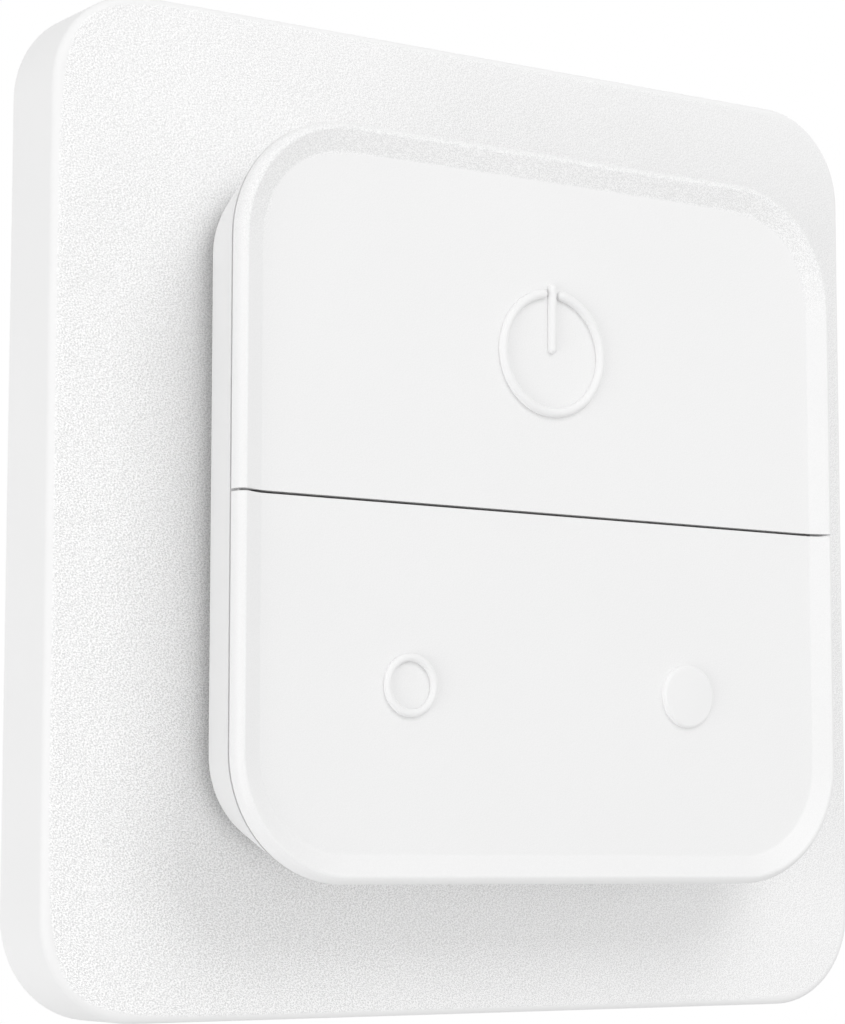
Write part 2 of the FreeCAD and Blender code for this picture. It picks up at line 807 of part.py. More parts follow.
os.makedirs("parts", exist_ok=True)
for name, shape in make_parts().items():
    if not shape.isValid():
        raise RuntimeError(name + " isn't a valid solid")
    shape.exportStep("parts/" + name + ".step")
    print(name, len(shape.Solids), "solid(s)", round(shape.Volume, 2), "mm3")
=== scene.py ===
"""Wireless remote wall switch: finishes, raised symbols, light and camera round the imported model.

Metres. The origin is the middle of the wall plate's back, +Z is up, +X is to the right as seen
from the room, and -Y points from the wall into the room.
"""
import math

import bmesh
import bpy
from bpy.props import FloatProperty, FloatVectorProperty, PointerProperty
from mathutils import Matrix, Vector


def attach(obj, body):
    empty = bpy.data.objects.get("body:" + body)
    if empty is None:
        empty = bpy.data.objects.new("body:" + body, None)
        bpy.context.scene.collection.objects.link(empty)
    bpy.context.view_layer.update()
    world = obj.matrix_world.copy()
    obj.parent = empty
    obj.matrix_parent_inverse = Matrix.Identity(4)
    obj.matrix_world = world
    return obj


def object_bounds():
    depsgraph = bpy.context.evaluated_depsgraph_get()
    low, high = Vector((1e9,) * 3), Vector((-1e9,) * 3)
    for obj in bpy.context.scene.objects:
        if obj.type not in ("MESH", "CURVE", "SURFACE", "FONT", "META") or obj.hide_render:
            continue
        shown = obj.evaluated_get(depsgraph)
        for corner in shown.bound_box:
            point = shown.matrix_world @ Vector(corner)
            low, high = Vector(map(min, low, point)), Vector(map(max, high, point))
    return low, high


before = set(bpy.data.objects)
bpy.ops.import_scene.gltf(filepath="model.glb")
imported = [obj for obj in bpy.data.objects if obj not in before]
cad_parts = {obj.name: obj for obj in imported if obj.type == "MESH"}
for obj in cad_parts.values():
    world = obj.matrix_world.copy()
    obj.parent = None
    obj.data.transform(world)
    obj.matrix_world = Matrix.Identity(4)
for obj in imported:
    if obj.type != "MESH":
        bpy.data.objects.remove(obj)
cad_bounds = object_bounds()

bl_info = {
    "name": "Wireless Remote Wall Switch",
    "version": (1, 0, 0),
    "blender": (4, 5, 0),
    "location": "View3D > Sidebar > Wall Switch",
    "description": "Dresses the wall switch with its symbols and finishes, and lights it",
    "category": "Object",
}

MM = 0.001
TOUCHING = 1e-6

# How deep a symbol is rooted in its cap, how finely round forms are divided, and the angle
# between two faces up to which they are shaded as one smooth surface
SUNK = 0.05 * MM
BEAD_SEGMENTS = 20
RING_SEGMENTS = 96
HALF_RING_STEPS = 72
EDGE_SEGMENTS = 6
FLOOR_SEGMENTS = 128
SMOOTH_ANGLE = math.radians(40)

# Colour of each moulding as a share of the white
PLATE_TINT = 1.03
SHELL_TINT = 0.97
# The shell's grey back is painted shade, which deepens the contact shadow on the plate beside the
# remote
SHELL_BACK_SHADE_TINT = 0.4
INNER_TINT = 0.84

# The leathery grain is two patterns of wrinkles, drawn out along two slopes and added
WRINKLE = (3, 1, 1)
STEEP_SLOPE = math.radians(44)
SHALLOW_SLOPE = math.radians(16)
ROUGHNESS_SWING = 0.15

# How square the regions of the grain are: 2 is a circle, and more brings the corners out
PLATE_SQUARENESS = 12
CAP_SQUARENESS = 8

# The colours' sockets of a Mix node, whose names are the same for every kind of data
MIX_FIRST = 6
MIX_SECOND = 7
MIX_RESULT = 2


# Settings

class WallSwitchSymbols(bpy.types.PropertyGroup):
    """Sizes of the raised symbols on the caps."""

    bead_lift: FloatProperty(
        name="Bead lift", description="Height of a bead's middle above the caps' faces",
        default=0.14 * MM, min=0, unit="LENGTH")
    standby_height: FloatProperty(
        name="Standby height", description="Height of the standby ring's middle on the upper cap",
        default=13.1 * MM, unit="LENGTH")
    standby_radius: FloatProperty(
        name="Standby radius", description="Radius of the standby ring's midline",
        default=4.85 * MM, min=0, unit="LENGTH")
    standby_stroke: FloatProperty(
        name="Standby stroke", description="Width of the standby ring and bar",
        default=0.75 * MM, min=0, unit="LENGTH")
    standby_opening: FloatProperty(
        name="Standby opening",
        description="Angle from the bar to the middle of a ring end's rounding",
        default=math.radians(10.6), min=0, subtype="ANGLE")
    bar_bottom: FloatProperty(
        name="Bar bottom", description="Height of the bar's lower end",
        default=13.08 * MM, unit="LENGTH")
    bar_top: FloatProperty(
        name="Bar top", description="Height of the bar's upper end",
        default=18.78 * MM, unit="LENGTH")
    dimmer_offset: FloatProperty(
        name="Dimmer offset", description="Distance of the ring and the disc from the middle",
        default=13.7 * MM, min=0, unit="LENGTH")
    dimmer_height: FloatProperty(
        name="Dimmer height", description="Height of the ring and the disc on the lower cap",
        default=-14.19 * MM, unit="LENGTH")
    ring_radius: FloatProperty(
        name="Ring radius", description="Outer radius of the dimming ring",
        default=2.47 * MM, min=0, unit="LENGTH")
    ring_stroke: FloatProperty(
        name="Ring stroke", description="Width of the dimming ring",
        default=0.62 * MM, min=0, unit="LENGTH")
    disc_radius: FloatProperty(
        name="Disc radius", description="Radius of the brightening disc",
        default=2.57 * MM, min=0, unit="LENGTH")
    disc_relief: FloatProperty(
        name="Disc relief", description="Height of the brightening disc above the cap's face",
        default=0.42 * MM, min=0, unit="LENGTH")
    disc_edge: FloatProperty(
        name="Disc edge", description="Size of the rounding round the brightening disc",
        default=0.252 * MM, min=0, unit="LENGTH")


class WallSwitchFinishes(bpy.types.PropertyGroup):
    """Colours and grain of the mouldings."""

    white: FloatVectorProperty(
        name="White", description="Colour of the white mouldings",
        default=(0.86, 0.86, 0.86), size=3, min=0, max=1, subtype="COLOR")
    plate_grain_size: FloatProperty(
        name="Plate grain size", description="Width of a wrinkle of the wall plate's grain",
        default=0.055 * MM, min=0, unit="LENGTH")
    plate_grain_reach: FloatProperty(
        name="Plate grain reach",
        description="Distance from the middle to the end of the plate's grain",
        default=39.7 * MM, min=0, unit="LENGTH")
    plate_grain: FloatProperty(
        name="Plate grain", description="Depth of the wall plate's grain",
        default=0.003 * MM, min=0, unit="LENGTH")
    cap_grain_size: FloatProperty(
        name="Cap grain size", description="Width of a wrinkle of the caps' grain",
        default=0.05 * MM, min=0, unit="LENGTH")
    cap_band_reach: FloatProperty(
        name="Cap band reach", description="Distance from the middle to the caps' sloping band",
        default=27.2 * MM, min=0, unit="LENGTH")
    cap_grain: FloatProperty(
        name="Cap grain", description="Depth of the caps' grain on their top band",
        default=0.004 * MM, min=0, unit="LENGTH")
    # Behind this Y the shell is painted grey, as painted shade for the contact shadow beside it
    shell_shade_back: FloatProperty(
        name="Shell back", description="Y behind which the remote's shell is grey",
        default=-8.33 * MM, unit="LENGTH")
    shell_grain: FloatProperty(
        name="Shell grain", description="Depth of the remote shell's grain",
        default=0.003 * MM, min=0, unit="LENGTH")


class WallSwitchStage(bpy.types.PropertyGroup):
    """Camera, light and floor."""

    camera_place: FloatVectorProperty(
        name="Camera place", description="Where the camera stands",
        default=(-144.981 * MM, -213.608 * MM, -28.09 * MM), size=3, subtype="TRANSLATION")
    camera_turn: FloatProperty(
        name="Camera turn", description="Angle of the view from +Y toward +X",
        default=math.radians(33.967), subtype="ANGLE")
    camera_lift: FloatProperty(
        name="Camera lift", description="Angle of the view above the horizontal",
        default=math.radians(6.612), subtype="ANGLE")
    camera_roll: FloatProperty(
        name="Camera roll", description="Turn of the camera about its own view",
        default=math.radians(0.046), subtype="ANGLE")
    camera_lens: FloatProperty(
        name="Camera lens", description="Focal length in millimetres on a 36 mm sensor",
        default=107.494, min=1, unit="CAMERA")
    surround: FloatProperty(
        name="Surround", description="Strength of the light from all round",
        default=0.648, min=0)
    softbox_size: FloatProperty(
        name="Softbox size", description="Side of each square lamp",
        default=0.5, min=0, unit="LENGTH")
    left_place: FloatVectorProperty(
        name="Left place", description="Where the lamp at the left and a little below stands",
        default=(-0.8, -0.25, -0.2), size=3, subtype="TRANSLATION")
    left_power: FloatProperty(
        name="Left power", description="Power of the left lamp in watts",
        default=2.51, min=0, unit="POWER")
    right_place: FloatVectorProperty(
        name="Right place", description="Where the lamp at the right and in front stands",
        default=(0.62, -0.62, 0.15), size=3, subtype="TRANSLATION")
    right_power: FloatProperty(
        name="Right power", description="Power of the right lamp in watts",
        default=0.56, min=0, unit="POWER")
    top_place: FloatVectorProperty(
        name="Top place", description="Where the lamp above and in front stands",
        default=(0.1, -0.7, 0.56), size=3, subtype="TRANSLATION")
    top_power: FloatProperty(
        name="Top power", description="Power of the top lamp in watts",
        default=2.29, min=0, unit="POWER")
    overhead_place: FloatVectorProperty(
        name="Overhead place", description="Where the lamp straight above the switch stands",
        default=(0, -0.06, 0.9), size=3, subtype="TRANSLATION")
    overhead_power: FloatProperty(
        name="Overhead power", description="Power of the overhead lamp in watts",
        default=0.45, min=0, unit="POWER")
    floor_height: FloatProperty(
        name="Floor height", description="Height of the floor under the switch",
        default=-400 * MM, unit="LENGTH")
    floor_radius: FloatProperty(
        name="Floor radius", description="Radius of the round floor",
        default=0.8, min=0, unit="LENGTH")
    floor_colour: FloatVectorProperty(
        name="Floor colour", description="Colour of the floor",
        default=(0.86, 0.86, 0.86), size=3, min=0, max=1, subtype="COLOR")


# Modelling helpers

def deselect_all():
    """Leaves nothing selected, because an operator acts on all that is selected."""
    bpy.ops.object.select_all(action="DESELECT")


def begin(name):
    """Names the new primitive, fixes its place in its mesh and opens it for editing."""
    piece = bpy.context.active_object
    piece.name = name
    piece.data.name = name
    bpy.ops.object.transform_apply(location=True, rotation=True, scale=True)
    bpy.ops.object.mode_set(mode="EDIT")
    return piece


def select_points(piece, test):
    """Selects the points of the open mesh that a test on their place accepts."""
    mesh = bmesh.from_edit_mesh(piece.data)
    mesh.select_mode = {"VERT"}
    bpy.context.tool_settings.mesh_select_mode = (True, False, False)
    for point in mesh.verts:
        point.select_set(test(point.co))
    mesh.select_flush_mode()
    bmesh.update_edit_mesh(piece.data)


def press_back(piece, face_y, depth):
    """Presses what lies behind the cap's face nearly flat, to root the symbol just inside it."""
    select_points(piece, lambda place: place.y > face_y + TOUCHING)
    bpy.ops.transform.resize(value=(1, SUNK / depth, 1), center_override=(0, face_y, 0))


def end(piece, body, slot):
    """Closes and smooths the mesh, lets it ride on its cap and gives it its slot's material."""
    bpy.ops.mesh.select_all(action="SELECT")
    bpy.ops.mesh.remove_doubles(threshold=TOUCHING)
    bpy.ops.mesh.normals_make_consistent(inside=False)
    bpy.ops.object.mode_set(mode="OBJECT")
    bpy.ops.object.shade_smooth_by_angle(angle=SMOOTH_ANGLE)
    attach(piece, body)
    piece.data.materials.append(bpy.data.materials[slot])
    deselect_all()


def face_depth(node, x, z):
    """Y of a cap's face straight in front of a point, so that a symbol sits on what carries it."""
    start = Vector((x, cad_bounds[0][1] - MM, z))
    hit, place, _normal, _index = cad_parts[node].ray_cast(start, Vector((0, 1, 0)))
    if not hit:
        raise RuntimeError(node + " has no face at the symbol's place")
    return place.y


# Shader helpers

class Reading:
    """A number that varies over a surface. Arithmetic on it adds Math nodes."""

    def __init__(self, nodes, socket):
        self.nodes = nodes
        self.socket = socket

    def maths(self, operation, *values):
        """Result of one Math node on the given numbers or readings."""
        node = self.nodes.node("ShaderNodeMath", {"operation": operation}, dict(enumerate(values)))
        return Reading(self.nodes, node.outputs[0])

    def larger(self, other):
        """The larger of this reading and another value."""
        return self.maths("MAXIMUM", self, other)

    def __add__(self, other):
        return self.maths("ADD", self, other)

    def __radd__(self, other):
        return self.maths("ADD", other, self)

    def __sub__(self, other):
        return self.maths("SUBTRACT", self, other)

    def __rsub__(self, other):
        return self.maths("SUBTRACT", other, self)

    def __mul__(self, other):
        return self.maths("MULTIPLY", self, other)

    def __rmul__(self, other):
        return self.maths("MULTIPLY", other, self)

    def __truediv__(self, other):
        return self.maths("DIVIDE", self, other)

    def __pow__(self, other):
        return self.maths("POWER", self, other)

    def __abs__(self):
        return self.maths("ABSOLUTE", self)


class Nodes:
    """The nodes of a material or of the world, under construction."""

    def __init__(self, tree):
        self.tree = tree

    def node(self, kind, settings=None, inputs=None):
        """New node of a type: first its settings, then the values or links of its sockets."""
        node = self.tree.nodes.new(kind)
        for name, value in (settings or {}).items():
            setattr(node, name, value)
        for name, value in (inputs or {}).items():
            if isinstance(value, Reading):
                value = value.socket
            if isinstance(value, bpy.types.NodeSocket):
                self.tree.links.new(value, node.inputs[name])
            else:
                node.inputs[name].default_value = value
        return node


class Finish(Nodes):
    """A material under construction, with its Principled shader."""

    def __init__(self, name, **constants):
        self.material = bpy.data.materials.new(name)
        self.material.use_nodes = True
        super().__init__(self.material.node_tree)
        self.shader = self.tree.nodes["Principled BSDF"]
        for socket, value in constants.items():
            self.shader.inputs[socket.replace("_", " ")].default_value = value
        self.place = self.node("ShaderNodeTexCoord").outputs["Object"]

    def axes(self):
        """The surface's X, Y and Z in the object's frame, as readings."""
        node = self.node("ShaderNodeSeparateXYZ", inputs={"Vector": self.place})
        return [Reading(self, socket) for socket in node.outputs]

    def stretched(self, lengths, turn=0.0):
        """The surface's place for a pattern drawn out along axes that are turned about Y."""
        inputs = {"Vector": self.place, "Rotation": (0, turn, 0), "Scale": lengths}
        return self.node("ShaderNodeMapping", {"vector_type": "TEXTURE"}, inputs).outputs[0]

    def noise(self, size, detail=2.0, place=None):
        """Cloudy pattern with features of a size in metres, from 0 to 1."""
        inputs = {"Vector": place or self.place, "Scale": 1 / size, "Detail": detail}
        return Reading(self, self.node("ShaderNodeTexNoise", inputs=inputs).outputs["Fac"])

    def cells(self, size, feature="F1"):
        """Distance pattern of cells of a size in metres."""
        inputs = {"Vector": self.place, "Scale": 1 / size}
        node = self.node("ShaderNodeTexVoronoi", {"feature": feature}, inputs)
        return Reading(self, node.outputs["Distance"])

    def smooth_step(self, value, low, high):
        """0 below a low mark, 1 above a high one, and smooth between them."""
        inputs = {"Value": value, "From Min": low, "From Max": high}
        node = self.node("ShaderNodeMapRange", {"interpolation_type": "SMOOTHSTEP"}, inputs)
        return Reading(self, node.outputs["Result"])

    def colour(self, first, second, share):
        """Base colour mixed from two colours by a reading."""
        inputs = {"Factor": share, MIX_FIRST: (*first, 1), MIX_SECOND: (*second, 1)}
        node = self.node("ShaderNodeMix", {"data_type": "RGBA"}, inputs)
        self.tree.links.new(node.outputs[MIX_RESULT], self.shader.inputs["Base Color"])

    def roughness(self, reading):
        """Roughness that varies over the surface."""
        self.tree.links.new(reading.socket, self.shader.inputs["Roughness"])

    def relief(self, height, depth):
        """Fine relief of a depth in metres from a height reading."""
        bump = self.node("ShaderNodeBump", inputs={"Height": height, "Distance": depth})
        self.tree.links.new(bump.outputs["Normal"], self.shader.inputs["Normal"])


def tinted(colour, share):
    """A colour with each channel scaled by a share."""
    return tuple(channel * share for channel in colour)


def past_round_square(x, z, reach, squareness):
    """Over 1 outside a round-cornered square about Y, whose sides are a reach away."""
    return abs(x / reach) ** squareness + abs(z / reach) ** squareness


def front_grain(reach, middle, fade):
    """Share of a grain that ends at a reach from the middle and fades to the right and the top; on
    the plate, where it fades, the smooth level paints shade.
    """
    def share(finish):
        x, _y, z = finish.axes()
        inside = 1 - finish.smooth_step(past_round_square(x, z, reach, PLATE_SQUARENESS), 0.9, 1)
        return inside * (middle - (x + z.larger(0)) * (fade / reach))
    return share


def upper_band(reach, rest):
    """Share of a grain that is full above a round-cornered square and faint elsewhere."""
    def share(finish):
        x, _y, z = finish.axes()
        outside = finish.smooth_step(past_round_square(x, z, reach, CAP_SQUARENESS), 0.95, 1.05)
        top = finish.smooth_step(z, reach * 0.6, reach * 0.9)
        return rest + (1 - rest) * outside * top
    return share


def moulding(name, colour, size, depth, rough, shade, share=None, smooth=0.5):
    """Moulded plastic with a leathery grain, painted darker in its pits and lighter on its crests
    as painted shade and light, which may end at some places.
    """
    finish = Finish(name, Specular_IOR_Level=0.4)
    steep = finish.noise(size, 0.0, finish.stretched(WRINKLE, STEEP_SLOPE))
    shallow = finish.noise(size, 0.0, finish.stretched(WRINKLE, SHALLOW_SLOPE))
    grain = finish.smooth_step(steep + shallow, 0.88, 1.12)
    if share:
        # A smooth level below the grain's mean paints shade where the grain fades
        grain = smooth + (grain - smooth) * share(finish)
    cloud = finish.noise(14 * MM, 3)
    # Painted shade and light: the colour follows the grain's height, darker in the pits
    finish.colour(tinted(colour, 1 - shade), tinted(colour, 1 + shade), grain * 0.9 + cloud * 0.1)
    finish.roughness(rough + (grain - 0.5) * ROUGHNESS_SWING)
    finish.relief(grain, depth)
    return finish.material


def shell_with_shade_back(name, colour, size, depth, rough, back, blend=0.05 * MM):
    """Moulded plastic with a fine grain whose side that faces the wall is painted grey: painted
    shade that deepens the contact shadow on the plate round it.
    """
    finish = Finish(name, Specular_IOR_Level=0.4)
    grain = finish.noise(size, 2)
    _x, y, _z = finish.axes()
    front = 1 - finish.smooth_step(y, back - blend, back)
    # Painted shade: grey behind the back mark, to darken the plate beside the shell
    finish.colour(tinted(colour, SHELL_BACK_SHADE_TINT), colour, front * 0.98 + grain * 0.02)
    finish.roughness(rough + (grain - 0.5) * ROUGHNESS_SWING)
    finish.relief(grain, depth)
    return finish.material


def plated_metal(name, colour, rough, lengths=(12, 1, 1), size=0.07 * MM, depth=0.002 * MM):
    """Plated metal with rolling marks along one direction."""
    finish = Finish(name, Metallic=1.0)
    marks = finish.noise(size, 4, finish.stretched(lengths))
    spots = finish.noise(3 * MM, 2)
    finish.colour(tinted(colour, 0.9), colour, finish.smooth_step(spots, 0.3, 0.7))
    finish.roughness(rough + (marks - 0.5) * 0.25)
    finish.relief(marks, depth)
    return finish.material


def turned_metal(name, colour, rough):
    """Bright metal with faint marks in circles about the Y axis."""
    finish = Finish(name, Metallic=1.0)
    x, _y, z = finish.axes()
    radius = (x * x + z * z) ** 0.5
    circles = finish.node(
        "ShaderNodeTexNoise", {"noise_dimensions": "1D"}, {"W": radius, "Scale": 1 / (0.15 * MM)})
    marks = Reading(finish, circles.outputs["Fac"])
    haze = finish.noise(2.5 * MM, 3)
    finish.colour(tinted(colour, 0.88), colour, haze)
    finish.roughness(rough + (marks - 0.5) * 0.16)
    finish.relief(marks, 0.0015 * MM)
    return finish.material


def solder_mask(name):
    """Green board with raised tracks under its mask."""
    finish = Finish(name, Specular_IOR_Level=0.55)
    edge = finish.cells(3.2 * MM, "DISTANCE_TO_EDGE")
    tracks = 1 - finish.smooth_step(edge, 0.04, 0.07)
    grain = finish.noise(0.3 * MM, 2)
    finish.colour((0.015, 0.13, 0.05), (0.04, 0.26, 0.11), tracks * 0.8 + grain * 0.2)
    finish.roughness(0.32 + grain * 0.15)
    finish.relief(tracks + grain * 0.1, 0.03 * MM)
    return finish.material


def resin(name, colour, rough):
    """Moulded resin with a fine speckle."""
    finish = Finish(name)
    grain = finish.noise(0.12 * MM, 3)
    finish.colour(tinted(colour, 0.7), tinted(colour, 1.2), grain)
    finish.roughness(rough + (grain - 0.5) * 0.2)
    finish.relief(grain, 0.008 * MM)
    return finish.material


def silicone(name):
    """Matt translucent silicone."""
    finish = Finish(name, Subsurface_Weight=0.3, Subsurface_Scale=0.5 * MM, Specular_IOR_Level=0.3)
    cloud = finish.noise(1.2 * MM, 3)
    finish.colour((0.42, 0.42, 0.43), (0.56, 0.56, 0.56), cloud)
    finish.roughness(0.55 + cloud * 0.2)
    finish.relief(finish.noise(0.15 * MM, 2), 0.006 * MM)
    return finish.material


def foam(name):
    """Dark closed-cell foam with a pit for each bubble."""
    finish = Finish(name, Specular_IOR_Level=0.25)
    bubbles = finish.cells(0.32 * MM)
    cloud = finish.noise(4 * MM, 2)
    finish.colour((0.13, 0.13, 0.135), (0.25, 0.25, 0.25), bubbles * 0.7 + cloud * 0.3)
    finish.roughness(0.75 + bubbles * 0.15)
    finish.relief(bubbles, 0.08 * MM)
    return finish.material


def dress(material, *names):
    """Gives CAD nodes a material through their objects' slots."""
    for name in names:
        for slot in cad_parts[name].material_slots:
            slot.material = material


# Pieces

class WALLSWITCH_OT_mouldings(bpy.types.Operator):
    """Finish the plate, shell, door, caps, carrier and base as moulded plastic"""

    bl_idname = "wall_switch.mouldings"
    bl_label = "Finish Mouldings"

    def execute(self, context):
        looks = context.scene.wall_switch_finishes
        white = tuple(looks.white)
        # Painted shade: the plate's smooth level lies below its grain's mean, so the plate is
        # painted darker where the grain fades, to the right, at the top and round its sides
        plate = moulding(
            "plate_plastic", tinted(white, PLATE_TINT), looks.plate_grain_size, looks.plate_grain,
            rough=0.6, shade=0.2, smooth=0.44,
            share=front_grain(looks.plate_grain_reach, middle=0.8, fade=0.28))
        dress(plate, "wall_plate")
        # The shell's back is painted grey as painted shade, to deepen the contact shadow on the
        # plate
        shell = shell_with_shade_back(
            "shell_plastic", tinted(white, SHELL_TINT), 0.2 * MM, looks.shell_grain, rough=0.5,
            back=looks.shell_shade_back)
        dress(shell, "rear_housing", "battery_door")
        caps = moulding(
            "cap_plastic", white, looks.cap_grain_size, looks.cap_grain, rough=0.5, shade=0.12,
            share=upper_band(looks.cap_band_reach, rest=0.13))
        dress(caps, "power_button", "dimmer_button")
        inner = moulding(
            "inner_plastic", tinted(white, INNER_TINT), 0.5 * MM, looks.shell_grain,
            rough=0.45, shade=0.02)
        dress(inner, "mounting_base", "front_carrier")
        return {"FINISHED"}


class WALLSWITCH_OT_metal_pieces(bpy.types.Operator):
    """Finish the keeper, the magnets, the cell, the contacts, the screws and the pins as metal"""

    bl_idname = "wall_switch.metal_pieces"
    bl_label = "Finish Metal Pieces"

    def execute(self, context):
        zinc = plated_metal("zinc_steel", (0.6, 0.61, 0.62), 0.38)
        dress(zinc, "keeper_plate", "carrier_screws", "power_hinge_pins", "dimmer_hinge_pins")
        dress(turned_metal("cell_steel", (0.66, 0.66, 0.65), 0.28), "coin_cell")
        nickel = plated_metal("magnet_nickel", (0.7, 0.68, 0.64), 0.2, (1, 1, 1), 1.2 * MM)
        dress(nickel, "dock_magnets")
        spring = plated_metal("spring_nickel", (0.68, 0.66, 0.62), 0.3, (1, 1, 8))
        dress(spring, "battery_contact_plus", "battery_contact_minus")
        dress(spring, "power_dome", "dim_dome", "bright_dome")
        tin = plated_metal("can_tin", (0.72, 0.72, 0.72), 0.34, (5, 1, 1))
        dress(tin, "radio_shield", "crystal")
        return {"FINISHED"}


class WALLSWITCH_OT_electronics(bpy.types.Operator):
    """Finish the board, its moulded parts, the mat and the foam pads"""

    bl_idname = "wall_switch.electronics"
    bl_label = "Finish Electronics and Soft Pieces"

    def execute(self, context):
        dress(solder_mask("board_mask"), "circuit_board")
        dress(resin("chip_resin", (0.03, 0.03, 0.035), 0.5), "main_chip")
        dress(resin("capacitor_resin", (0.6, 0.33, 0.06), 0.45), "capacitor")
        dress(silicone("mat_silicone"), "key_mat")
        dress(foam("pad_foam"), "adhesive_pad_upper", "adhesive_pad_lower")
        return {"FINISHED"}


class WALLSWITCH_OT_standby_symbol(bpy.types.Operator):
    """Raise the standby ring and its bar on the upper cap"""

    bl_idname = "wall_switch.standby_symbol"
    bl_label = "Raise Standby Symbol"

    def execute(self, context):
        sizes = context.scene.wall_switch_symbols
        face_y = face_depth("power_button", 0, sizes.standby_height)
        self.raise_ring(sizes, face_y)
        self.raise_bar(sizes, face_y)
        return {"FINISHED"}

    def raise_ring(self, sizes, face_y):
        """Half ring with a rounded end, spun from half a ball and mirrored."""
        centre = (0, face_y - sizes.bead_lift, sizes.standby_height)
        start = (0, face_y - sizes.bead_lift, sizes.standby_height + sizes.standby_radius)
        bead = sizes.standby_stroke / 2
        deselect_all()
        bpy.ops.mesh.primitive_uv_sphere_add(
            segments=BEAD_SEGMENTS, ring_count=BEAD_SEGMENTS // 2, radius=bead, location=start,
            rotation=(0, math.radians(90), 0))
        ring = begin("standby_ring")
        select_points(ring, lambda place: place.x < -TOUCHING)
        bpy.ops.mesh.delete(type="VERT")
        select_points(ring, lambda place: place.x < TOUCHING)
        bpy.ops.mesh.spin(
            steps=HALF_RING_STEPS, angle=math.pi - sizes.standby_opening, center=centre,
            axis=(0, 1, 0))
        bpy.ops.mesh.select_all(action="SELECT")
        bpy.ops.transform.rotate(
            value=sizes.standby_opening, orient_axis="Y", orient_type="GLOBAL",
            center_override=centre)
        bpy.ops.object.mode_set(mode="OBJECT")
        mirror = ring.modifiers.new("other_half", "MIRROR")
        mirror.merge_threshold = TOUCHING
        bpy.ops.object.modifier_apply(modifier=mirror.name)
        bpy.ops.object.mode_set(mode="EDIT")
        press_back(ring, face_y, bead - sizes.bead_lift)
        end(ring, "power_button", "cap_plastic")

    def raise_bar(self, sizes, face_y):
        """Bar with round ends, drawn out of a ball that has no points on its middle height."""
        bead = sizes.standby_stroke / 2
        low = sizes.bar_bottom + bead
        deselect_all()
        bpy.ops.mesh.primitive_uv_sphere_add(
            segments=BEAD_SEGMENTS, ring_count=BEAD_SEGMENTS // 2 + 1, radius=bead,
            location=(0, face_y - sizes.bead_lift, low))
        bar = begin("standby_bar")
        select_points(bar, lambda place: place.z > low)
        bpy.ops.transform.translate(value=(0, 0, sizes.bar_top - bead - low))
        press_back(bar, face_y, bead - sizes.bead_lift)
        end(bar, "power_button", "cap_plastic")


class WALLSWITCH_OT_dimming_symbols(bpy.types.Operator):
    """Raise the dimming ring and the brightening disc on the lower cap"""

    bl_idname = "wall_switch.dimming_symbols"
    bl_label = "Raise Dimming Symbols"

    def execute(self, context):
        sizes = context.scene.wall_switch_symbols
        self.raise_ring(sizes)
        self.raise_disc(sizes)
        return {"FINISHED"}

    def raise_ring(self, sizes):
        """Ring with a rounded section."""
        bead = sizes.ring_stroke / 2
        face_y = face_depth("dimmer_button", -sizes.dimmer_offset, sizes.dimmer_height)
        place = (-sizes.dimmer_offset, face_y - sizes.bead_lift, sizes.dimmer_height)
        deselect_all()
        bpy.ops.mesh.primitive_torus_add(
            major_segments=RING_SEGMENTS, minor_segments=BEAD_SEGMENTS,
            major_radius=sizes.ring_radius - bead, minor_radius=bead, location=place,
            rotation=(math.radians(90), 0, 0))
        ring = begin("dimming_ring")
        press_back(ring, face_y, bead - sizes.bead_lift)
        end(ring, "dimmer_button", "cap_plastic")

    def raise_disc(self, sizes):
        """Flat disc with a rounded edge."""
        face_y = face_depth("dimmer_button", sizes.dimmer_offset, sizes.dimmer_height)
        middle_y = face_y + (SUNK - sizes.disc_relief) / 2
        deselect_all()
        bpy.ops.mesh.primitive_cylinder_add(
            vertices=RING_SEGMENTS, radius=sizes.disc_radius, depth=sizes.disc_relief + SUNK,
            location=(sizes.dimmer_offset, middle_y, sizes.dimmer_height),
            rotation=(math.radians(90), 0, 0))
        disc = begin("brightening_disc")
        select_points(disc, lambda place: place.y < face_y)
        bpy.ops.mesh.bevel(offset=sizes.disc_edge, segments=EDGE_SEGMENTS, affect="EDGES")
        end(disc, "dimmer_button", "cap_plastic")


# Stage

def softbox(name, place, size, power):
    """Square lamp that faces the middle of the switch."""
    lamp = bpy.data.lights.new(name, "AREA")
    lamp.shape = "SQUARE"
    lamp.size = size
    lamp.energy = power
    holder = bpy.data.objects.new(name, lamp)
    holder.location = place
    holder.rotation_euler = (-place).to_track_quat("-Z", "Y").to_euler()
    bpy.context.scene.collection.objects.link(holder)


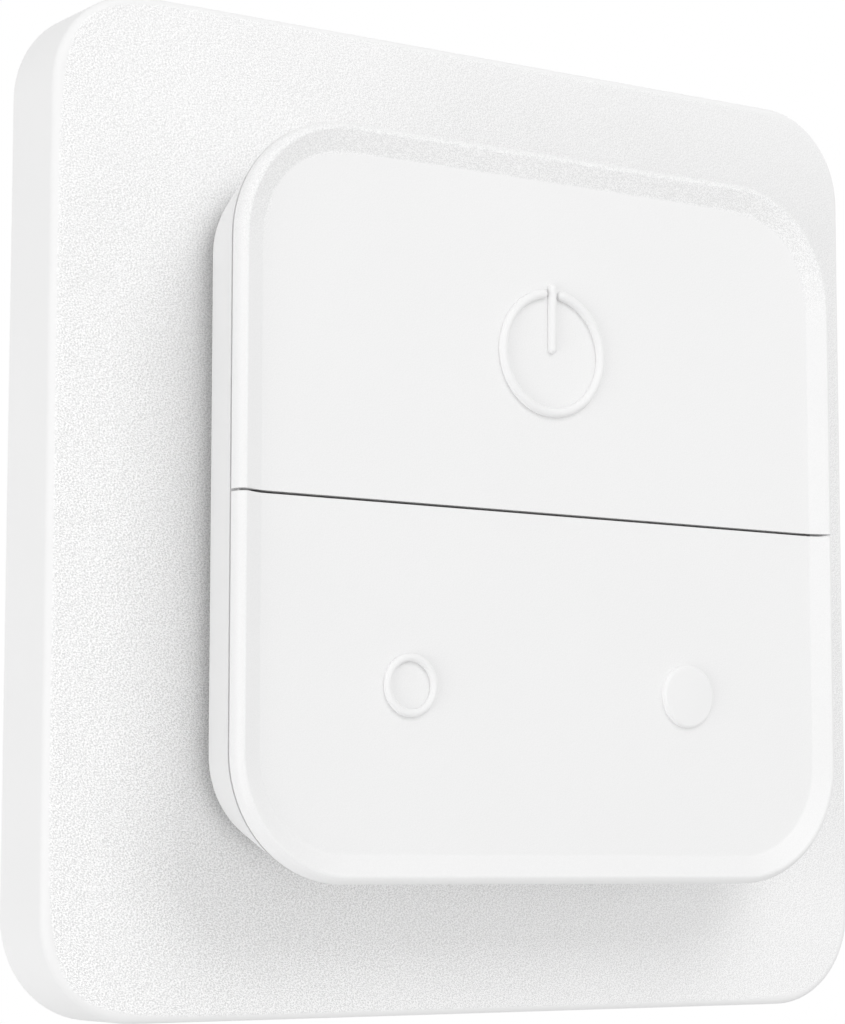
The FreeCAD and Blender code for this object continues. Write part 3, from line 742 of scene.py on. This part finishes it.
class WALLSWITCH_OT_stage(bpy.types.Operator):
    """Set the floor, the lamps, the white surround and the camera"""

    bl_idname = "wall_switch.stage"
    bl_label = "Set Stage"

    def execute(self, context):
        stage = context.scene.wall_switch_stage
        self.lay_floor(stage)
        self.light_surround(context, stage)
        softbox("left_softbox", stage.left_place, stage.softbox_size, stage.left_power)
        softbox("right_softbox", stage.right_place, stage.softbox_size, stage.right_power)
        softbox("top_softbox", stage.top_place, stage.softbox_size, stage.top_power)
        softbox("overhead_softbox", stage.overhead_place, stage.softbox_size, stage.overhead_power)
        self.set_camera(context, stage)
        context.scene.view_settings.view_transform = "Standard"
        return {"FINISHED"}

    def lay_floor(self, stage):
        """Round pale floor under the switch."""
        deselect_all()
        bpy.ops.mesh.primitive_circle_add(
            vertices=FLOOR_SEGMENTS, radius=stage.floor_radius, fill_type="NGON",
            location=(0, 0, stage.floor_height))
        floor = begin("floor")
        bpy.ops.mesh.inset(thickness=20 * MM)
        bpy.ops.object.mode_set(mode="OBJECT")
        finish = Finish("floor_paper", Specular_IOR_Level=0.2)
        cloud = finish.noise(120 * MM, 3)
        pale = tuple(stage.floor_colour)
        finish.colour(tinted(pale, 0.985), pale, cloud)
        finish.roughness(0.7 + cloud * 0.1)
        finish.relief(finish.noise(2 * MM, 2), 0.1 * MM)
        floor.data.materials.append(finish.material)
        deselect_all()

    def light_surround(self, context, stage):
        """White to the camera and in reflections, and a plain soft light on everything else."""
        world = bpy.data.worlds.new("white_surround")
        context.scene.world = world
        world.use_nodes = True
        world.node_tree.nodes.clear()
        nodes = Nodes(world.node_tree)
        rays = nodes.node("ShaderNodeLightPath").outputs
        seen = Reading(nodes, rays["Is Camera Ray"]).larger(rays["Is Glossy Ray"])
        seen = seen.larger(rays["Is Transmission Ray"])
        white = (1, 1, 1, 1)
        light, backdrop = [
            nodes.node("ShaderNodeBackground", inputs={"Color": white, "Strength": strength})
            for strength in (stage.surround, 1)]
        shaders = {0: seen, 1: light.outputs[0], 2: backdrop.outputs[0]}
        mix = nodes.node("ShaderNodeMixShader", inputs=shaders)
        nodes.node("ShaderNodeOutputWorld", inputs={"Surface": mix.outputs[0]})

    def set_camera(self, context, stage):
        """Camera at the photograph's place and angle."""
        data = bpy.data.cameras.new("camera")
        data.lens = stage.camera_lens
        camera = bpy.data.objects.new("camera", data)
        turn = Matrix.Rotation(-stage.camera_turn, 4, "Z")
        lift = Matrix.Rotation(math.radians(90) + stage.camera_lift, 4, "X")
        roll = Matrix.Rotation(stage.camera_roll, 4, "Z")
        camera.matrix_world = Matrix.Translation(stage.camera_place) @ turn @ lift @ roll
        context.scene.collection.objects.link(camera)
        context.scene.camera = camera


class WALLSWITCH_PT_sidebar(bpy.types.Panel):
    """Lists the switch's settings and the steps that build it."""

    bl_label = "Wall Switch"
    bl_idname = "WALLSWITCH_PT_sidebar"
    bl_space_type = "VIEW_3D"
    bl_region_type = "UI"
    bl_category = "Wall Switch"

    def draw(self, context):
        layout = self.layout
        for name, group in settings.items():
            box = layout.box()
            for prop in group.__annotations__:
                box.prop(getattr(context.scene, name), prop)
        for step in steps:
            layout.operator(step.bl_idname)


settings = {
    "wall_switch_symbols": WallSwitchSymbols,
    "wall_switch_finishes": WallSwitchFinishes,
    "wall_switch_stage": WallSwitchStage,
}
steps = (
    WALLSWITCH_OT_stage,
    WALLSWITCH_OT_mouldings,
    WALLSWITCH_OT_metal_pieces,
    WALLSWITCH_OT_electronics,
    WALLSWITCH_OT_standby_symbol,
    WALLSWITCH_OT_dimming_symbols,
)


def register():
    """Registers the settings, the steps and the panel."""
    for name, group in settings.items():
        bpy.utils.register_class(group)
        setattr(bpy.types.Scene, name, PointerProperty(type=group))
    for step in steps:
        bpy.utils.register_class(step)
    bpy.utils.register_class(WALLSWITCH_PT_sidebar)


def unregister():
    """Takes the panel, the steps and the settings out again."""
    bpy.utils.unregister_class(WALLSWITCH_PT_sidebar)
    for step in reversed(steps):
        bpy.utils.unregister_class(step)
    for name, group in reversed(settings.items()):
        delattr(bpy.types.Scene, name)
        bpy.utils.unregister_class(group)


def main():
    """Builds everything in order."""
    register()
    bpy.ops.wall_switch.stage()
    bpy.ops.wall_switch.mouldings()
    bpy.ops.wall_switch.metal_pieces()
    bpy.ops.wall_switch.electronics()
    bpy.ops.wall_switch.standby_symbol()
    bpy.ops.wall_switch.dimming_symbols()


if __name__ == "__main__":
    main()
